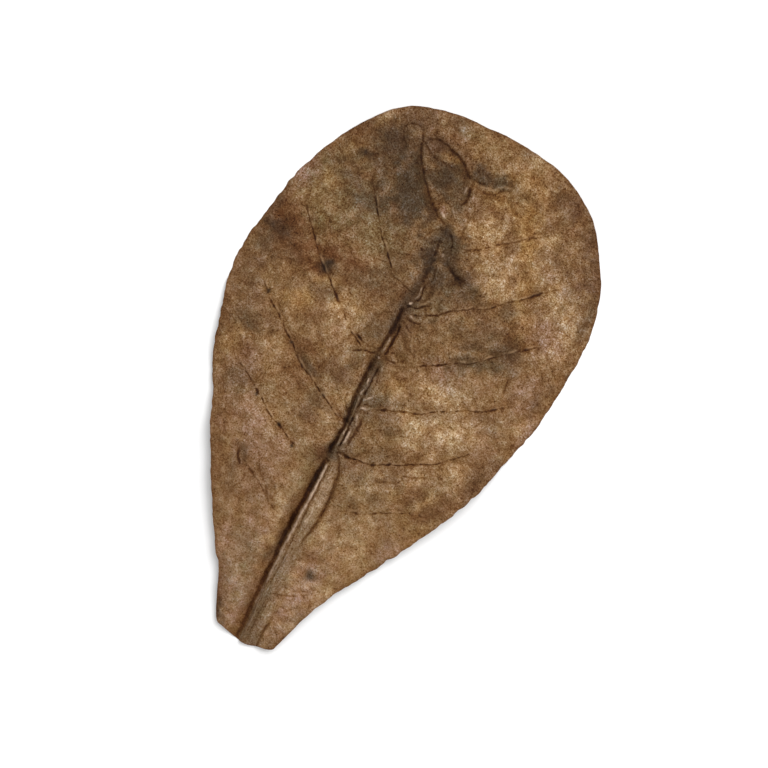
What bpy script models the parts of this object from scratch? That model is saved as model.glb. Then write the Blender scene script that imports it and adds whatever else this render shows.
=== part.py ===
"""A dried Indian almond leaf, broken off at its stalk and lying face up.

The leaf grew as one piece, so it is one solid: a thin, gently buckled blade with its midrib and
side veins. Lengths below are in millimetres in the leaf's own plan: x runs across the blade and y
along the midrib, measured from the midrib's broken end. The finished solid is in metres, +Z up,
with its origin on the surface it lies on, below the middle of its outline.
"""

import math

import bmesh
import bpy
import numpy as np
from mathutils import Vector
from mathutils.geometry import delaunay_2d_cdt
from mathutils.kdtree import KDTree

MM = 0.001

# The margin, anticlockwise from the midrib's broken end, up the right side and round the tip.
MARGIN = [
    (0, -1), (5, 0), (9.5, 1.2), (11, 4), (15.5, 17), (21, 28), (29.5, 41.5), (39, 58), (44, 67.5),
    (48.5, 77.5), (51.5, 87), (54, 96), (57, 106), (59, 122), (60, 139), (57.5, 154), (51.5, 166.5),
    (42.5, 178), (29.5, 186), (15, 189), (0, 189.5), (-14.5, 188.5), (-29, 184), (-40, 173.5),
    (-47.5, 161.5), (-53, 148), (-56, 134), (-58.5, 120), (-58, 107), (-55, 95), (-51, 81),
    (-46, 71), (-42, 61), (-31, 39.5), (-22, 24), (-18, 18), (-12, 3.5), (-8, 1),
]
HEART = (0.0, 105.0)  # the middle of the blade, from which all of the margin is seen
RIPPLE_HEIGHT = 0.3
RIPPLE_LENGTH = 8.0

# How the blade lies: an arched midrib, a crown along each half and a drooping margin.
BLADE_THICKNESS = 0.85
LEAF_LENGTH = 190.0
HALF_WIDTH = 58.0
BROKEN_END_LIFT = 1.7
MIDRIB_ARCH = 3.6
CROWN_HEIGHT = 2.7
MARGIN_DROOP = 5.6
TIP_LIFT = 3.0

# Waves of the margin as seen from HEART: how many in a full turn, their height and phase in degrees.
MARGIN_WAVES = [(3, 1.1, 260.0), (5, 0.8, 200.0), (8, 0.9, 60.0), (13, 0.35, 20.0)]

# The midrib: a ridge in a trough above, steep on its left side, and a round rib below.
MIDRIB_PATH = [
    (0, -2), (0, 45), (0.3, 62), (0.4, 70), (0.2, 77), (-0.6, 83), (0.9, 89), (-0.2, 97), (0, 110),
    (0.1, 124), (1.2, 138), (0.9, 148), (0.5, 156), (0.5, 190),
]
MIDRIB_TOP = 168.0
TROUGH_DEPTH = 1.2
TROUGH_WIDTH = 7.0
CREST_HEIGHT = 1.5
CREST_SHIFT = -0.6
CREST_STEEP_WIDTH = 0.9
CREST_GENTLE_WIDTH = 3.0
RIB_DEPTH = 2.3
RIB_WIDTH = 2.9

# Side veins run out from the midrib as y = start + rise * x + curl * x * x:
# side, start, rise, curl and reach.
RIGHT, LEFT = 1, -1
SIDE_VEINS = [
    (RIGHT, 17.0, 0.50, 0.0, 15), (LEFT, 21.0, 0.55, 0.0, 17),
    (RIGHT, 30.5, 0.48, 0.0, 25), (LEFT, 39.0, 0.60, 0.0, 30),
    (RIGHT, 50.0, 0.34, 0.002, 38), (LEFT, 60.0, 0.44, 0.003, 47),
    (RIGHT, 70.5, 0.02, 0.011, 43), (LEFT, 79.5, 0.44, 0.0055, 51),
    (RIGHT, 87.0, 0.33, 0.0035, 48), (LEFT, 101.5, 0.55, 0.007, 48),
    (RIGHT, 103.0, 0.36, 0.006, 50), (LEFT, 125.0, 0.80, 0.012, 33),
    (RIGHT, 123.0, 0.36, 0.0075, 48), (LEFT, 153.0, 0.65, 0.03, 15),
    (RIGHT, 145.5, 0.45, 0.007, 38),
]
VEIN_FURROW_DEPTH = 0.5
VEIN_FURROW_WIDTH = 1.3
VEIN_RIB_DEPTH = 0.85
VEIN_RIB_WIDTH = 1.2
QUILT_DEPTH = 1.0
QUILT_WIDTH = 4.5

# Crumpled folds near the tip, where the shrunken midrib has buckled.
FOLDS = [
    [(1, 156), (3.5, 165), (2.5, 171), (-4, 176.5), (-11, 178.5), (-19, 178)],
    [(5.5, 170.5), (10.5, 172), (15, 175.5)],
]
FOLD_HEIGHT = 1.1
FOLD_WIDTH = 1.9

# Spacing of the solid's points, and the lines beside each form that they follow.
MARGIN_STEP = 2.4
LINE_STEP = 2.6
FIELD_STEP = 3.9
KEEP_OFF = 2.1
MIDRIB_LINES = (-4.6, -2.2, -0.6, 1.8, 4.6)
MIDRIB_LINES_FROM = 2.0
MIDRIB_LINES_TO = 150.0
VEIN_LINES = (-1.5, 0.0, 1.5)
VEIN_START = 6.8
FOLD_LINES = (-2.0, 0.0, 2.0)

DRIED_BROWN = (0.21, 0.12, 0.058, 1.0)
DRIED_ROUGHNESS = 0.62


def fade(low, high, value):
    """0 below low, 1 above high, and smooth between them."""
    t = np.clip((value - low) / (high - low), 0, 1)
    return t * t * (3 - 2 * t)


def bump(distance, width):
    """1 on a line, falling smoothly to almost 0 at twice the width."""
    return np.exp(-((distance / width) ** 2))


def smooth_line(knots, step, closed=False):
    """Evenly spaced points on the smooth curve through the given ones."""
    p = np.array(knots, float)
    if closed:
        p = np.vstack([p[-1], p, p[0], p[1]])
    else:
        p = np.vstack([2 * p[0] - p[1], p, 2 * p[-1] - p[-2]])
    a, b, c, d = p[:-3, None], p[1:-2, None], p[2:-1, None], p[3:, None]
    t = np.linspace(0, 1, 40, endpoint=False)[None, :, None]
    curve = 0.5 * (
        2 * b + (c - a) * t + (2 * a - 5 * b + 4 * c - d) * t**2 + (3 * b - 3 * c + d - a) * t**3
    )
    fine = np.vstack([curve.reshape(-1, 2), p[-2]])
    length = np.r_[0, np.cumsum(np.hypot(*np.diff(fine, axis=0).T))]
    count = max(2, round(length[-1] / step))
    wanted = np.linspace(0, length[-1], count + 1)[: count if closed else None]
    return np.column_stack([np.interp(wanted, length, fine[:, i]) for i in (0, 1)])


def beside(line, aside):
    """The line moved sideways, to its left where aside is positive."""
    along = np.gradient(line, axis=0)
    along /= np.hypot(*along.T)[:, None]
    return line + aside * np.column_stack([-along[:, 1], along[:, 0]])


def margin_line():
    """The margin, with its fine ripple where the blade is wide enough to have one."""
    line = smooth_line(MARGIN, MARGIN_STEP, closed=True)
    turns = np.arange(len(line)) * MARGIN_STEP / RIPPLE_LENGTH
    out = RIPPLE_HEIGHT * np.sin(math.tau * turns) * fade(15, 45, line[:, 1])
    along = np.roll(line, -1, axis=0) - np.roll(line, 1, axis=0)
    along /= np.hypot(*along.T)[:, None]
    return line + out[:, None] * np.column_stack([along[:, 1], -along[:, 0]])


def bearing(x, y):
    return np.arctan2(y - HEART[1], x - HEART[0])


def margin_share(x, y, margin):
    """0 at the blade's heart and 1 at its margin, on the bearing of each point."""
    to_margin = np.hypot(*(margin - HEART).T)
    reach = np.interp(bearing(x, y), bearing(*margin.T), to_margin, period=math.tau)
    return np.hypot(x - HEART[0], y - HEART[1]) / reach


def vein_line(vein, aside):
    """Points along a side vein, or along a line beside it."""
    side, start, rise, curl, reach = vein
    x = np.linspace(VEIN_START, reach, max(2, round((reach - VEIN_START) / LINE_STEP)) + 1)
    line = np.column_stack([x, start + rise * x + curl * x * x])
    return beside(line, aside) * (side, 1)


def veins_at(x, y, width):
    """How strongly the side veins shape the blade: 1 on a vein, fading beside it and at its ends."""
    strongest = np.zeros(len(x))
    for side, start, rise, curl, reach in SIDE_VEINS:
        out = side * x
        distance = (y - start - rise * out - curl * out * out) / np.hypot(1, rise + 2 * curl * out)
        ends = fade(0, 5, out) * (1 - fade(0.75 * reach, reach + 6, out))
        strongest = np.maximum(strongest, bump(distance, width) * ends)
    return strongest


def folds_at(x, y):
    strongest = np.zeros(len(x))
    for knots in FOLDS:
        line = smooth_line(knots, 0.5)
        away = np.hypot(x[:, None] - line[:, 0], y[:, None] - line[:, 1])
        share = away.argmin(axis=1) / (len(line) - 1)
        taper = fade(-0.05, 0.15, share) * (1 - fade(0.8, 1.05, share))
        strongest = np.maximum(strongest, bump(away.min(axis=1), FOLD_WIDTH) * taper)
    return strongest


def midrib_size(y):
    """The midrib's share of its full size: all at the broken end and none at MIDRIB_TOP."""
    return 1 - 0.5 * fade(0, 90, y) - 0.5 * fade(90, MIDRIB_TOP, y)


def from_midrib(x, y):
    path = smooth_line(MIDRIB_PATH, 1.0)
    return x - np.interp(y, path[:, 1], path[:, 0])


def blade_form(x, y, margin):
    """The height of the blade's underside, before its ribs."""
    across = np.abs(x) / HALF_WIDTH
    arch = MIDRIB_ARCH * np.sin(math.pi * np.clip(y / LEAF_LENGTH, 0, 1))
    crown = CROWN_HEIGHT * np.sin(math.pi * np.clip(across, 0, 1))
    droop = MARGIN_DROOP * across**2
    tip = TIP_LIFT * fade(165, 195, y)
    waves = sum(h * np.cos(n * bearing(x, y) - math.radians(at)) for n, h, at in MARGIN_WAVES)
    trough = TROUGH_DEPTH * midrib_size(y) * bump(from_midrib(x, y), TROUGH_WIDTH)
    quilt = QUILT_DEPTH * veins_at(x, y, QUILT_WIDTH)
    lie = BROKEN_END_LIFT + arch + crown - droop + tip
    return lie + waves * margin_share(x, y, margin) ** 4 - trough - quilt


def upper_and_lower(x, y, margin):
    """Heights of the leaf's two faces. What would sink below the surface it lies on is pressed flat."""
    form = blade_form(x, y, margin)
    off, size = from_midrib(x, y), midrib_size(y)
    rib = RIB_DEPTH * size * bump(off, RIB_WIDTH * (0.4 + 0.6 * size))
    vein_rib = VEIN_RIB_DEPTH * veins_at(x, y, VEIN_RIB_WIDTH)
    lower = np.maximum(0, form - np.maximum(rib, vein_rib))

    from_crest = off - CREST_SHIFT
    gentle = 0.5 + CREST_GENTLE_WIDTH * size
    crest = CREST_HEIGHT * size * bump(from_crest, np.where(from_crest < 0, CREST_STEEP_WIDTH, gentle))
    furrow = VEIN_FURROW_DEPTH * veins_at(x, y, VEIN_FURROW_WIDTH) * fade(2, 6, np.abs(off))
    fold = FOLD_HEIGHT * folds_at(x, y)
    upper = np.maximum(0, form) + BLADE_THICKNESS + crest - furrow + fold
    return upper, lower


def guide_lines():
    """Lines along the midrib, the side veins and the folds, where the faces turn sharply."""
    midrib = smooth_line(MIDRIB_PATH, LINE_STEP)
    midrib = midrib[(midrib[:, 1] > MIDRIB_LINES_FROM) & (midrib[:, 1] < MIDRIB_LINES_TO)]
    lines = [midrib + (aside, 0) for aside in MIDRIB_LINES]
    lines += [vein_line(vein, aside) for vein in SIDE_VEINS for aside in VEIN_LINES]
    lines += [beside(smooth_line(fold, LINE_STEP), aside) for fold in FOLDS for aside in FOLD_LINES]
    return lines


def field_points(margin, lines):
    """A staggered field of points over the rest of the blade, kept off the margin and the lines."""
    taken = np.vstack([margin, *lines])
    tree = KDTree(len(taken))
    for i, (x, y) in enumerate(taken):
        tree.insert((x, y, 0), i)
    tree.balance()
    row_step = FIELD_STEP * math.sqrt(0.75)
    columns = math.ceil(HALF_WIDTH / FIELD_STEP) + 1
    field = [
        ((column + 0.5 * (row % 2)) * FIELD_STEP, row * row_step)
        for row in range(math.ceil(LEAF_LENGTH / row_step))
        for column in range(-columns, columns + 1)
    ]
    inside = margin_share(*np.array(field).T, margin) < 1
    return [p for p, kept in zip(field, inside) if kept and tree.find((*p, 0))[2] > KEEP_OFF]


def leaf_plan(margin):
    """The blade's plan as triangles that follow the midrib, the veins and the folds."""
    lines = guide_lines()
    points = list(margin)
    edges = [(i, (i + 1) % len(margin)) for i in range(len(margin))]
    for line in lines:
        edges += [(len(points) + i, len(points) + i + 1) for i in range(len(line) - 1)]
        points += list(line)
    points += field_points(margin, lines)
    inside_only = 1
    found = delaunay_2d_cdt([Vector(p) for p in points], edges, [], inside_only, 0.01)
    return np.array(found[0]), found[2]


def leaf_material():
    material = bpy.data.materials.new("dried_leaf")
    material.use_nodes = True
    shader = material.node_tree.nodes["Principled BSDF"]
    shader.inputs["Base Color"].default_value = DRIED_BROWN
    shader.inputs["Roughness"].default_value = DRIED_ROUGHNESS
    shader.inputs["Metallic"].default_value = 0.0
    return material


def build_leaf():
    """The plan is lifted to the upper face, then extruded down to the lower face."""
    margin = margin_line()
    plan, triangles = leaf_plan(margin)
    upper, lower = upper_and_lower(*plan.T, margin)
    middle = (margin.min(axis=0) + margin.max(axis=0)) / 2

    leaf = bmesh.new()
    depth = leaf.verts.layers.float.new("depth")
    for (x, y), high, low in zip(plan - middle, upper, lower):
        leaf.verts.new((x, y, high))[depth] = high - low
    leaf.verts.ensure_lookup_table()
    for corners in triangles:
        leaf.faces.new([leaf.verts[i] for i in corners])
    made = bmesh.ops.extrude_face_region(leaf, geom=leaf.faces[:])
    for vertex in made["geom"]:
        if isinstance(vertex, bmesh.types.BMVert):
            vertex.co.z -= vertex[depth]
    bmesh.ops.triangulate(leaf, faces=[face for face in leaf.faces if len(face.verts) > 3])
    bmesh.ops.recalc_face_normals(leaf, faces=leaf.faces[:])
    bmesh.ops.scale(leaf, vec=(MM, MM, MM), verts=leaf.verts[:])

    mesh = bpy.data.meshes.new("leaf")
    leaf.to_mesh(mesh)
    leaf.free()
    mesh.shade_smooth()
    mesh.set_sharp_from_angle(angle=math.radians(50))
    mesh.materials.append(leaf_material())
    obj = bpy.data.objects.new("leaf", mesh)
    bpy.context.scene.collection.objects.link(obj)
    return obj


for old in list(bpy.data.objects):
    bpy.data.objects.remove(old)
build_leaf()
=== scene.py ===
"""Dresses the dried Indian almond leaf and sets the floor, light and camera.

The leaf's lengths are in millimetres in its own plan, as in its CAD model: x runs across the blade
and y along the midrib, from the midrib's broken end. Places in the world are in metres.
"""

import math

import bpy
import numpy as np
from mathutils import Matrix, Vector, noise
from mathutils.geometry import delaunay_2d_cdt
from mathutils.kdtree import KDTree


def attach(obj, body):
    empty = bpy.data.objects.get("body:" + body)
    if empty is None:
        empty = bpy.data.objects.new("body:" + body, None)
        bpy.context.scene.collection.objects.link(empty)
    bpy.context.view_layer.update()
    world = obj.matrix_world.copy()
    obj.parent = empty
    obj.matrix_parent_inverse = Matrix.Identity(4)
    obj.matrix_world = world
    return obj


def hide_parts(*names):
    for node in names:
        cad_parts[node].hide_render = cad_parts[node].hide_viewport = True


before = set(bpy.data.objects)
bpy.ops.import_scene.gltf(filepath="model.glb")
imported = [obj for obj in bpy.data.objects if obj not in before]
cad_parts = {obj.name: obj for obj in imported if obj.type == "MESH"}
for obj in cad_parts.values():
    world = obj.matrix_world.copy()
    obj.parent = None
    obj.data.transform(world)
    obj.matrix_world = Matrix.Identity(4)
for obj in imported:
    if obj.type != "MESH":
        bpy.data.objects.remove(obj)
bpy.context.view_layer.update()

MM = 0.001

# The blade's outline and lie, as the CAD model has them

MARGIN = [
    (0, -1), (5, 0), (9.5, 1.2), (11, 4), (15.5, 17), (21, 28), (29.5, 41.5), (39, 58), (44, 67.5),
    (48.5, 77.5), (51.5, 87), (54, 96), (57, 106), (59, 122), (60, 139), (57.5, 154), (51.5, 166.5),
    (42.5, 178), (29.5, 186), (15, 189), (0, 189.5), (-14.5, 188.5), (-29, 184), (-40, 173.5),
    (-47.5, 161.5), (-53, 148), (-56, 134), (-58.5, 120), (-58, 107), (-55, 95), (-51, 81),
    (-46, 71), (-42, 61), (-31, 39.5), (-22, 24), (-18, 18), (-12, 3.5), (-8, 1),
]
HEART = (0.0, 105.0)
LEAF_LENGTH = 190.0
HALF_WIDTH = 58.0
BROKEN_END_LIFT = 1.7
MIDRIB_ARCH = 3.6
CROWN_HEIGHT = 2.7
MARGIN_DROOP = 5.6
TIP_LIFT = 3.0
MARGIN_WAVES = [(3, 1.1, 260.0), (5, 0.8, 200.0), (8, 0.9, 60.0), (13, 0.35, 20.0)]

MIDRIB_PATH = [
    (0, -2), (0, 45), (0.3, 62), (0.4, 70), (0.2, 77), (-0.6, 83), (0.9, 89), (-0.2, 97), (0, 110),
    (0.1, 124), (1.2, 138), (0.9, 148), (0.5, 156), (0.5, 190),
]
MIDRIB_TOP = 168.0
TROUGH_DEPTH = 1.2
TROUGH_WIDTH = 7.0
CREST_HEIGHT = 1.5
CREST_SHIFT = -0.6
CREST_STEEP_WIDTH = 0.9
CREST_GENTLE_WIDTH = 3.0
RIB_DEPTH = 2.3
RIB_WIDTH = 2.9

RIGHT, LEFT = 1, -1
SIDE_VEINS = [
    (RIGHT, 17.0, 0.50, 0.0, 15), (LEFT, 21.0, 0.55, 0.0, 17),
    (RIGHT, 30.5, 0.48, 0.0, 25), (LEFT, 39.0, 0.60, 0.0, 30),
    (RIGHT, 50.0, 0.34, 0.002, 38), (LEFT, 60.0, 0.44, 0.003, 47),
    (RIGHT, 70.5, 0.02, 0.011, 43), (LEFT, 79.5, 0.44, 0.0055, 51),
    (RIGHT, 87.0, 0.33, 0.0035, 48), (LEFT, 101.5, 0.55, 0.007, 48),
    (RIGHT, 103.0, 0.36, 0.006, 50), (LEFT, 125.0, 0.80, 0.012, 33),
    (RIGHT, 123.0, 0.36, 0.0075, 48), (LEFT, 153.0, 0.65, 0.03, 15),
    (RIGHT, 145.5, 0.45, 0.007, 38),
]
VEIN_RIB_DEPTH = 0.85
VEIN_RIB_WIDTH = 1.2
QUILT_DEPTH = 1.0
QUILT_WIDTH = 4.5

# Finer shape that only this dressed blade has

BLADE_THICKNESS = 0.5
EDGE_THICKNESS = 0.3
EDGE_TAPER = 6.0
SCALLOP_LENGTH = 8.0
SCALLOP_HEIGHT = 0.5
LEFT_SCALLOPS = 0.6
EDGE_CURL = 0.35
WRINKLE_DEPTH = 0.14

# How plainly each side vein shows, and how far from the midrib it starts to, in the order above
VEIN_LOOKS = [
    (0.35, 1), (0.1, 5), (0.25, 3), (0.6, 8), (0.7, 8), (0.9, 13), (1.0, 3), (1.0, 3),
    (0.9, 6), (1.0, 8), (0.9, 4), (1.0, 10), (0.9, 14), (0.15, 5), (0.6, 9),
]

# Each side vein is a fine raised thread with a painted highlight along it, and a crease on its stalk side
# darkened with painted shade; its furrow gets soft painted shade in patches.
THREAD_HEIGHT = 0.2
THREAD_WIDTH = 0.3
CREASE_DEPTH = 0.32
CREASE_WIDTH = 0.33
CREASE_ASIDE = 0.42
VEIN_FURROW_DEPTH = 0.3
VEIN_FURROW_WIDTH = 1.7

# Ridges, grooves and creases: depth (a ridge where negative), width, darkness of the shade painted along
# it (a painted highlight where negative) and line, then the height of the raised lip on its left (on its
# right where negative), if it has one.
MIDRIB_STROKES = [
    # the groove left of the midrib, with its painted shade, sharp and soft
    (0.9, 0.85, 0.55, [(-2.6, -6), (-2.6, 5), (-2.9, 12), (-3, 18), (-2.9, 26)]),
    (0.9, 0.85, 0.7, [(-3, 18), (-3, 26), (-3, 34), (-3.3, 42), (-3.1, 48)]),
    (0.9, 0.8, 0.85, [(-3.2, 38), (-3, 46), (-2.5, 53), (-2.4, 59), (-2.1, 63), (-1.8, 68)]),
    (0.3, 2.0, 0.55, [(-4, -6), (-3.9, 10), (-4.2, 17), (-4.8, 23), (-5.2, 30), (-4.8, 36), (-4.4, 42),
                      (-3.9, 50), (-3.6, 58), (-3.4, 66)]),
    (0.9, 0.7, 0.85, [(-2.1, 68.5), (-2, 71.5), (-1.5, 75), (-1.3, 77.5), (-1.4, 81), (-1.6, 84),
                      (-2.2, 87)]),
    (0.8, 0.65, 0.7, [(-1.8, 84.5), (-2.3, 88), (-2.4, 92), (-2.3, 97), (-2.2, 101), (-2, 105)]),
    (0.15, 1.8, 0.5, [(-2.6, 97), (-3, 102), (-3, 107), (-2.8, 112)]),
    (0.6, 0.65, 0.65, [(-2, 105.5), (-1.7, 109), (-1.3, 113), (-1, 117), (-0.9, 121), (-0.8, 125)]),
    # the crest, with the highlights painted along it
    (-0.3, 0.5, -0.2, [(-0.5, -6), (-0.5, 5), (-1, 11), (-1.2, 17), (-1.7, 22)]),
    (-0.45, 0.55, -0.5, [(-1.5, 20), (-1.8, 23), (-1.7, 29), (-1.6, 35), (-1.45, 39)]),
    (-0.45, 0.5, -0.7, [(-1.6, 35), (-1.4, 41), (-1.3, 47), (-1, 53), (-0.85, 59), (-0.8, 63),
                        (-0.7, 66)]),
    (-0.2, 0.3, -1.0, [(-1.15, 51.5), (-1, 56), (-0.95, 58)]),
    (-0.2, 0.3, -0.9, [(-0.85, 61.5), (-0.75, 64.2)]),
    (-0.5, 0.5, -0.2, [(-0.6, 85.5), (-0.8, 90), (-0.6, 95), (-0.5, 99), (-0.5, 103)]),
    (-0.2, 0.28, -1.0, [(-1.2, 91), (-1.1, 92.4)]),
    (-0.2, 0.28, -0.7, [(-0.7, 91.8), (-0.7, 93.6)]),
    (-0.2, 0.4, -0.4, [(-0.4, 84.5), (-0.7, 87.5), (-0.8, 90.5), (-0.9, 93)]),
    (-0.2, 0.3, -0.35, [(0.1, 92.5), (0, 95.5), (0.1, 98.5), (0, 101)]),
    (-0.2, 0.28, -0.9, [(-0.65, 94.4), (-0.5, 97.6)]),
    (-0.3, 0.4, -0.4, [(-0.5, 106.5), (-0.3, 110), (-0.1, 113.5)]),
    # the spindle of shrunken tissue on the right of the crest
    (0.3, 0.45, 0.35, [(-0.2, 20), (-0.2, 27), (-0.2, 34), (-0.1, 40)]),
    (0.3, 0.4, 0.45, [(-0.1, 40), (0, 45), (-0.1, 51), (0, 56), (0.1, 62), (0, 66)]),
    (-0.5, 1.5, -0.3, [(1.4, 40), (1.8, 46), (2.6, 53), (2.6, 60), (1.8, 65)]),
    (0.4, 0.55, 0.5, [(3.1, 37), (3.6, 41), (4.8, 47), (5, 53), (4.6, 59), (4.1, 64), (3, 67),
                      (1.5, 69.3), (0.2, 70.4)]),
    (0.3, 1.2, 0.3, [(3.4, 40), (5, 47), (5.2, 54), (4.8, 60), (3.8, 66)]),
    (-0.2, 0.3, -0.8, [(1.4, 60.6), (2.2, 62), (2.9, 63)]),
    (-0.2, 0.3, -0.6, [(2.6, 57.6), (3.4, 59.6), (3.5, 61.6)]),
    (-0.2, 0.3, -0.6, [(0.9, 44), (1.4, 47.4), (1.8, 50)]),
    (0.2, 0.35, 0.5, [(1.3, 55.4), (2.5, 55.8), (3.4, 55.2)]),
    (0.15, 1.2, 0.3, [(0.6, -4), (0.6, 10), (0.8, 18)]),
    (0.2, 0.7, 0.55, [(4.4, -4), (4.6, 4), (5.1, 10), (5.4, 13)]),
    # the pinched double ridge
    (0.4, 0.8, 0.7, [(-1.5, 66.2), (-0.2, 66.8)]),
    (0.2, 1.8, 0.45, [(-2.6, 66.5), (-1.6, 69.5), (-0.6, 71.5), (0.6, 72)]),
    (-0.25, 0.45, -0.4, [(-1.4, 69.8), (-0.6, 70.3)]),
    (-0.45, 0.4, -0.45, [(-0.8, 71.8), (-0.6, 74), (-0.4, 77), (-0.1, 79.3)]),
    (0.6, 0.35, 0.95, [(0.2, 72), (0.5, 75), (0.5, 78), (0.2, 80.2), (0.3, 82), (0.1, 84)]),
    (-0.55, 0.5, -0.7, [(0.9, 73.3), (1.3, 75.5), (1.4, 77.5), (1.4, 79.5)]),
    (-0.6, 0.5, -0.6, [(2, 80.2), (2.1, 81.5), (1.8, 83), (1.1, 84.3), (0.3, 84.9)]),
    (0.2, 0.7, 0.65, [(2.4, 73.5), (2.9, 77), (3.2, 81), (2.9, 85)]),
    (0.4, 0.9, 0.9, [(-3, 81.4), (-1.5, 81.2), (0.3, 81)]),
    (0.2, 1.6, 0.4, [(-0.7, 80.6), (-0.4, 83), (0.2, 87), (1, 91)]),
    (0.6, 0.45, 0.6, [(0.3, 85.5), (0.2, 90), (0.3, 95), (0.4, 99), (0.6, 103)]),
    (0.3, 1.5, 0.55, [(-1.2, 98.5), (-0.9, 103), (-1, 108)]),
    (0.15, 2.0, 0.45, [(1, 98), (0.9, 104), (0.8, 110), (0.6, 117), (0.4, 124)]),
    (0.2, 1.8, 0.45, [(0.6, 122), (1.2, 127), (1.6, 132), (1.4, 138), (1.2, 144)]),
    (0.6, 0.45, 0.9, [(0.5, 106), (0.8, 109), (1, 112), (1.1, 115), (0.9, 118)]),
    (0.3, 1.0, 0.8, [(-0.4, 111), (-0.7, 118), (-0.7, 122), (-0.4, 125)]),
    (0.3, 0.35, 0.7, [(1.6, 126.6), (2.7, 128), (2.9, 130.5), (2.3, 133.5)]),
    (-0.25, 0.35, -0.35, [(1, 127), (2, 128.6), (2.2, 130.8), (1.7, 133)]),
    (0.25, 0.8, 0.5, [(1.6, 132), (1.3, 136), (1.1, 139.5)]),
]
JUNCTION_STROKES = [
    # round the vein that leaves at 70 mm
    (0.4, 0.45, 0.68, [(-0.2, 70.3), (3, 70.6), (5, 70.2), (7, 70.8)]),
    (-0.35, 0.45, -0.5, [(0.8, 71.4), (2.4, 72.4), (4.2, 73.6)]),
    (-0.35, 0.6, -0.7, [(5.4, 72), (6.4, 72.6)]),
    # round the vein that leaves at 80 mm
    (-0.35, 0.4, -0.6, [(-8, 77.4), (-5, 79), (-2.2, 80.2)]),
    (-0.3, 0.7, -0.45, [(-6.5, 74), (-4.5, 75), (-3, 76)]),
    (0.32, 0.36, 0.68, [(-0.8, 81), (-4, 81.7), (-6, 82.8)]),
    (-0.3, 0.5, -0.5, [(-4.4, 89.3), (-3.8, 87.5), (-3, 86.2)]),
    (0.24, 0.36, 0.52, [(-5.1, 90.3), (-4.7, 87.6), (-3.2, 85.3), (-1.8, 83.5)]),
    # round the vein that leaves at 88 mm
    (-0.35, 0.42, -0.6, [(0.4, 86.2), (1.8, 87.3), (4, 87.6)]),
    (-0.35, 0.4, -0.6, [(0.6, 90), (2, 91), (3.6, 92.2)]),
    (0.32, 0.45, 0.56, [(0.8, 88.6), (2.6, 88.9), (5.5, 89)]),
    (0.16, 0.45, 0.45, [(1.4, 86), (2.8, 86.3), (4.2, 86.2)]),
    (0.16, 0.41, 0.38, [(5.9, 95.8), (6.8, 94), (8, 92.6)], 0.1),
    (-0.25, 0.4, -0.4, [(1, 103), (2.3, 101), (3.2, 98.6), (3.3, 96)]),
    (0.2, 0.36, 0.38, [(0.9, 101.5), (1.9, 99), (2.1, 96), (1.5, 93)]),
    # round the veins that leave at 105 mm
    (-0.3, 0.45, -1.0, [(-1.1, 104.6), (-0.3, 104.9)]),
    (0.28, 0.41, 0.64, [(-2, 105.7), (-6, 104.8), (-10.5, 103)]),
    (0.24, 0.36, 0.45, [(-1.4, 106.7), (-3.8, 107.4)]),
    (0.32, 0.41, 0.68, [(0.2, 105.7), (3, 105.3), (6, 105.2)]),
    (0.24, 0.36, 0.52, [(5.9, 105.4), (5.2, 107), (3.2, 108.3), (1.4, 107.5)]),
    (-0.35, 0.45, -0.5, [(4.6, 106.3), (3.4, 107.2), (1.8, 106.7)]),
    (-0.3, 0.5, -0.3, [(1.6, 103.6), (4.2, 103.2), (6.5, 103.6)]),
    # round the veins that leave at 125 mm, and the folds below and beside them, with soft painted shade and
    # painted highlights
    (-0.35, 0.45, -1.0, [(0.1, 125.4), (1.3, 126.2)]),
    (0.28, 0.4, 0.75, [(-0.8, 124.6), (1, 124.6), (2.4, 124.8), (4.4, 125.8), (6.2, 127.6)]),
    (-0.3, 0.45, -0.9, [(2.8, 126), (4.4, 127), (6, 128.6)]),
    (0.28, 0.42, 0.66, [(3.2, 122.7), (6.1, 123.7), (9.2, 125.2), (11.9, 127.1), (14, 129),
                        (15.5, 130.3)], 0.12),
    (0.2, 0.32, 0.38, [(3.4, 127.3), (4.8, 128.8), (5.8, 130.4)]),
    (-0.25, 0.35, -0.35, [(2.4, 127.4), (3.6, 129), (4.4, 130.8)]),
    (0.16, 0.36, 0.38, [(4.2, 125.4), (6.2, 127), (7.6, 128.8)]),
    (-0.35, 0.5, -0.9, [(2, 121.9), (3.4, 121.8), (4.8, 121.3)]),
    (0.28, 0.46, 0.7, [(1, 120.9), (4, 120.5), (7.6, 120.6)]),
    (0.24, 0.41, 0.56, [(1.2, 118.4), (3, 118), (4.6, 117), (6.4, 115.2)], 0.15),
    (0.2, 0.36, 0.45, [(-10.4, 131.8), (-6, 130.9), (-3, 129.8), (0.2, 129)], 0.15),
    (0.1, 1.3, 0.5, [(2, 120.4), (5.5, 119.4), (9.5, 119.6)]),
    (0.1, 1.2, 0.45, [(2.2, 116.5), (5.4, 112.5), (7.6, 107.5)]),
    (0.1, 1.2, 0.45, [(1.4, 108.8), (5, 108.4), (9, 107.2)]),
    (0.1, 1.2, 0.45, [(3.4, 126.8), (5.4, 131), (5.8, 135)]),
    (-0.3, 0.7, -0.35, [(3.4, 117.6), (6.8, 114.2), (9.4, 110.4)]),
    (-0.3, 0.6, -0.3, [(1.9, 114.4), (4, 111.8), (5.4, 109.4)]),
    (-0.3, 0.6, -0.3, [(4.6, 127), (6.8, 130.6), (7.4, 134.4)]),
]
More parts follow.
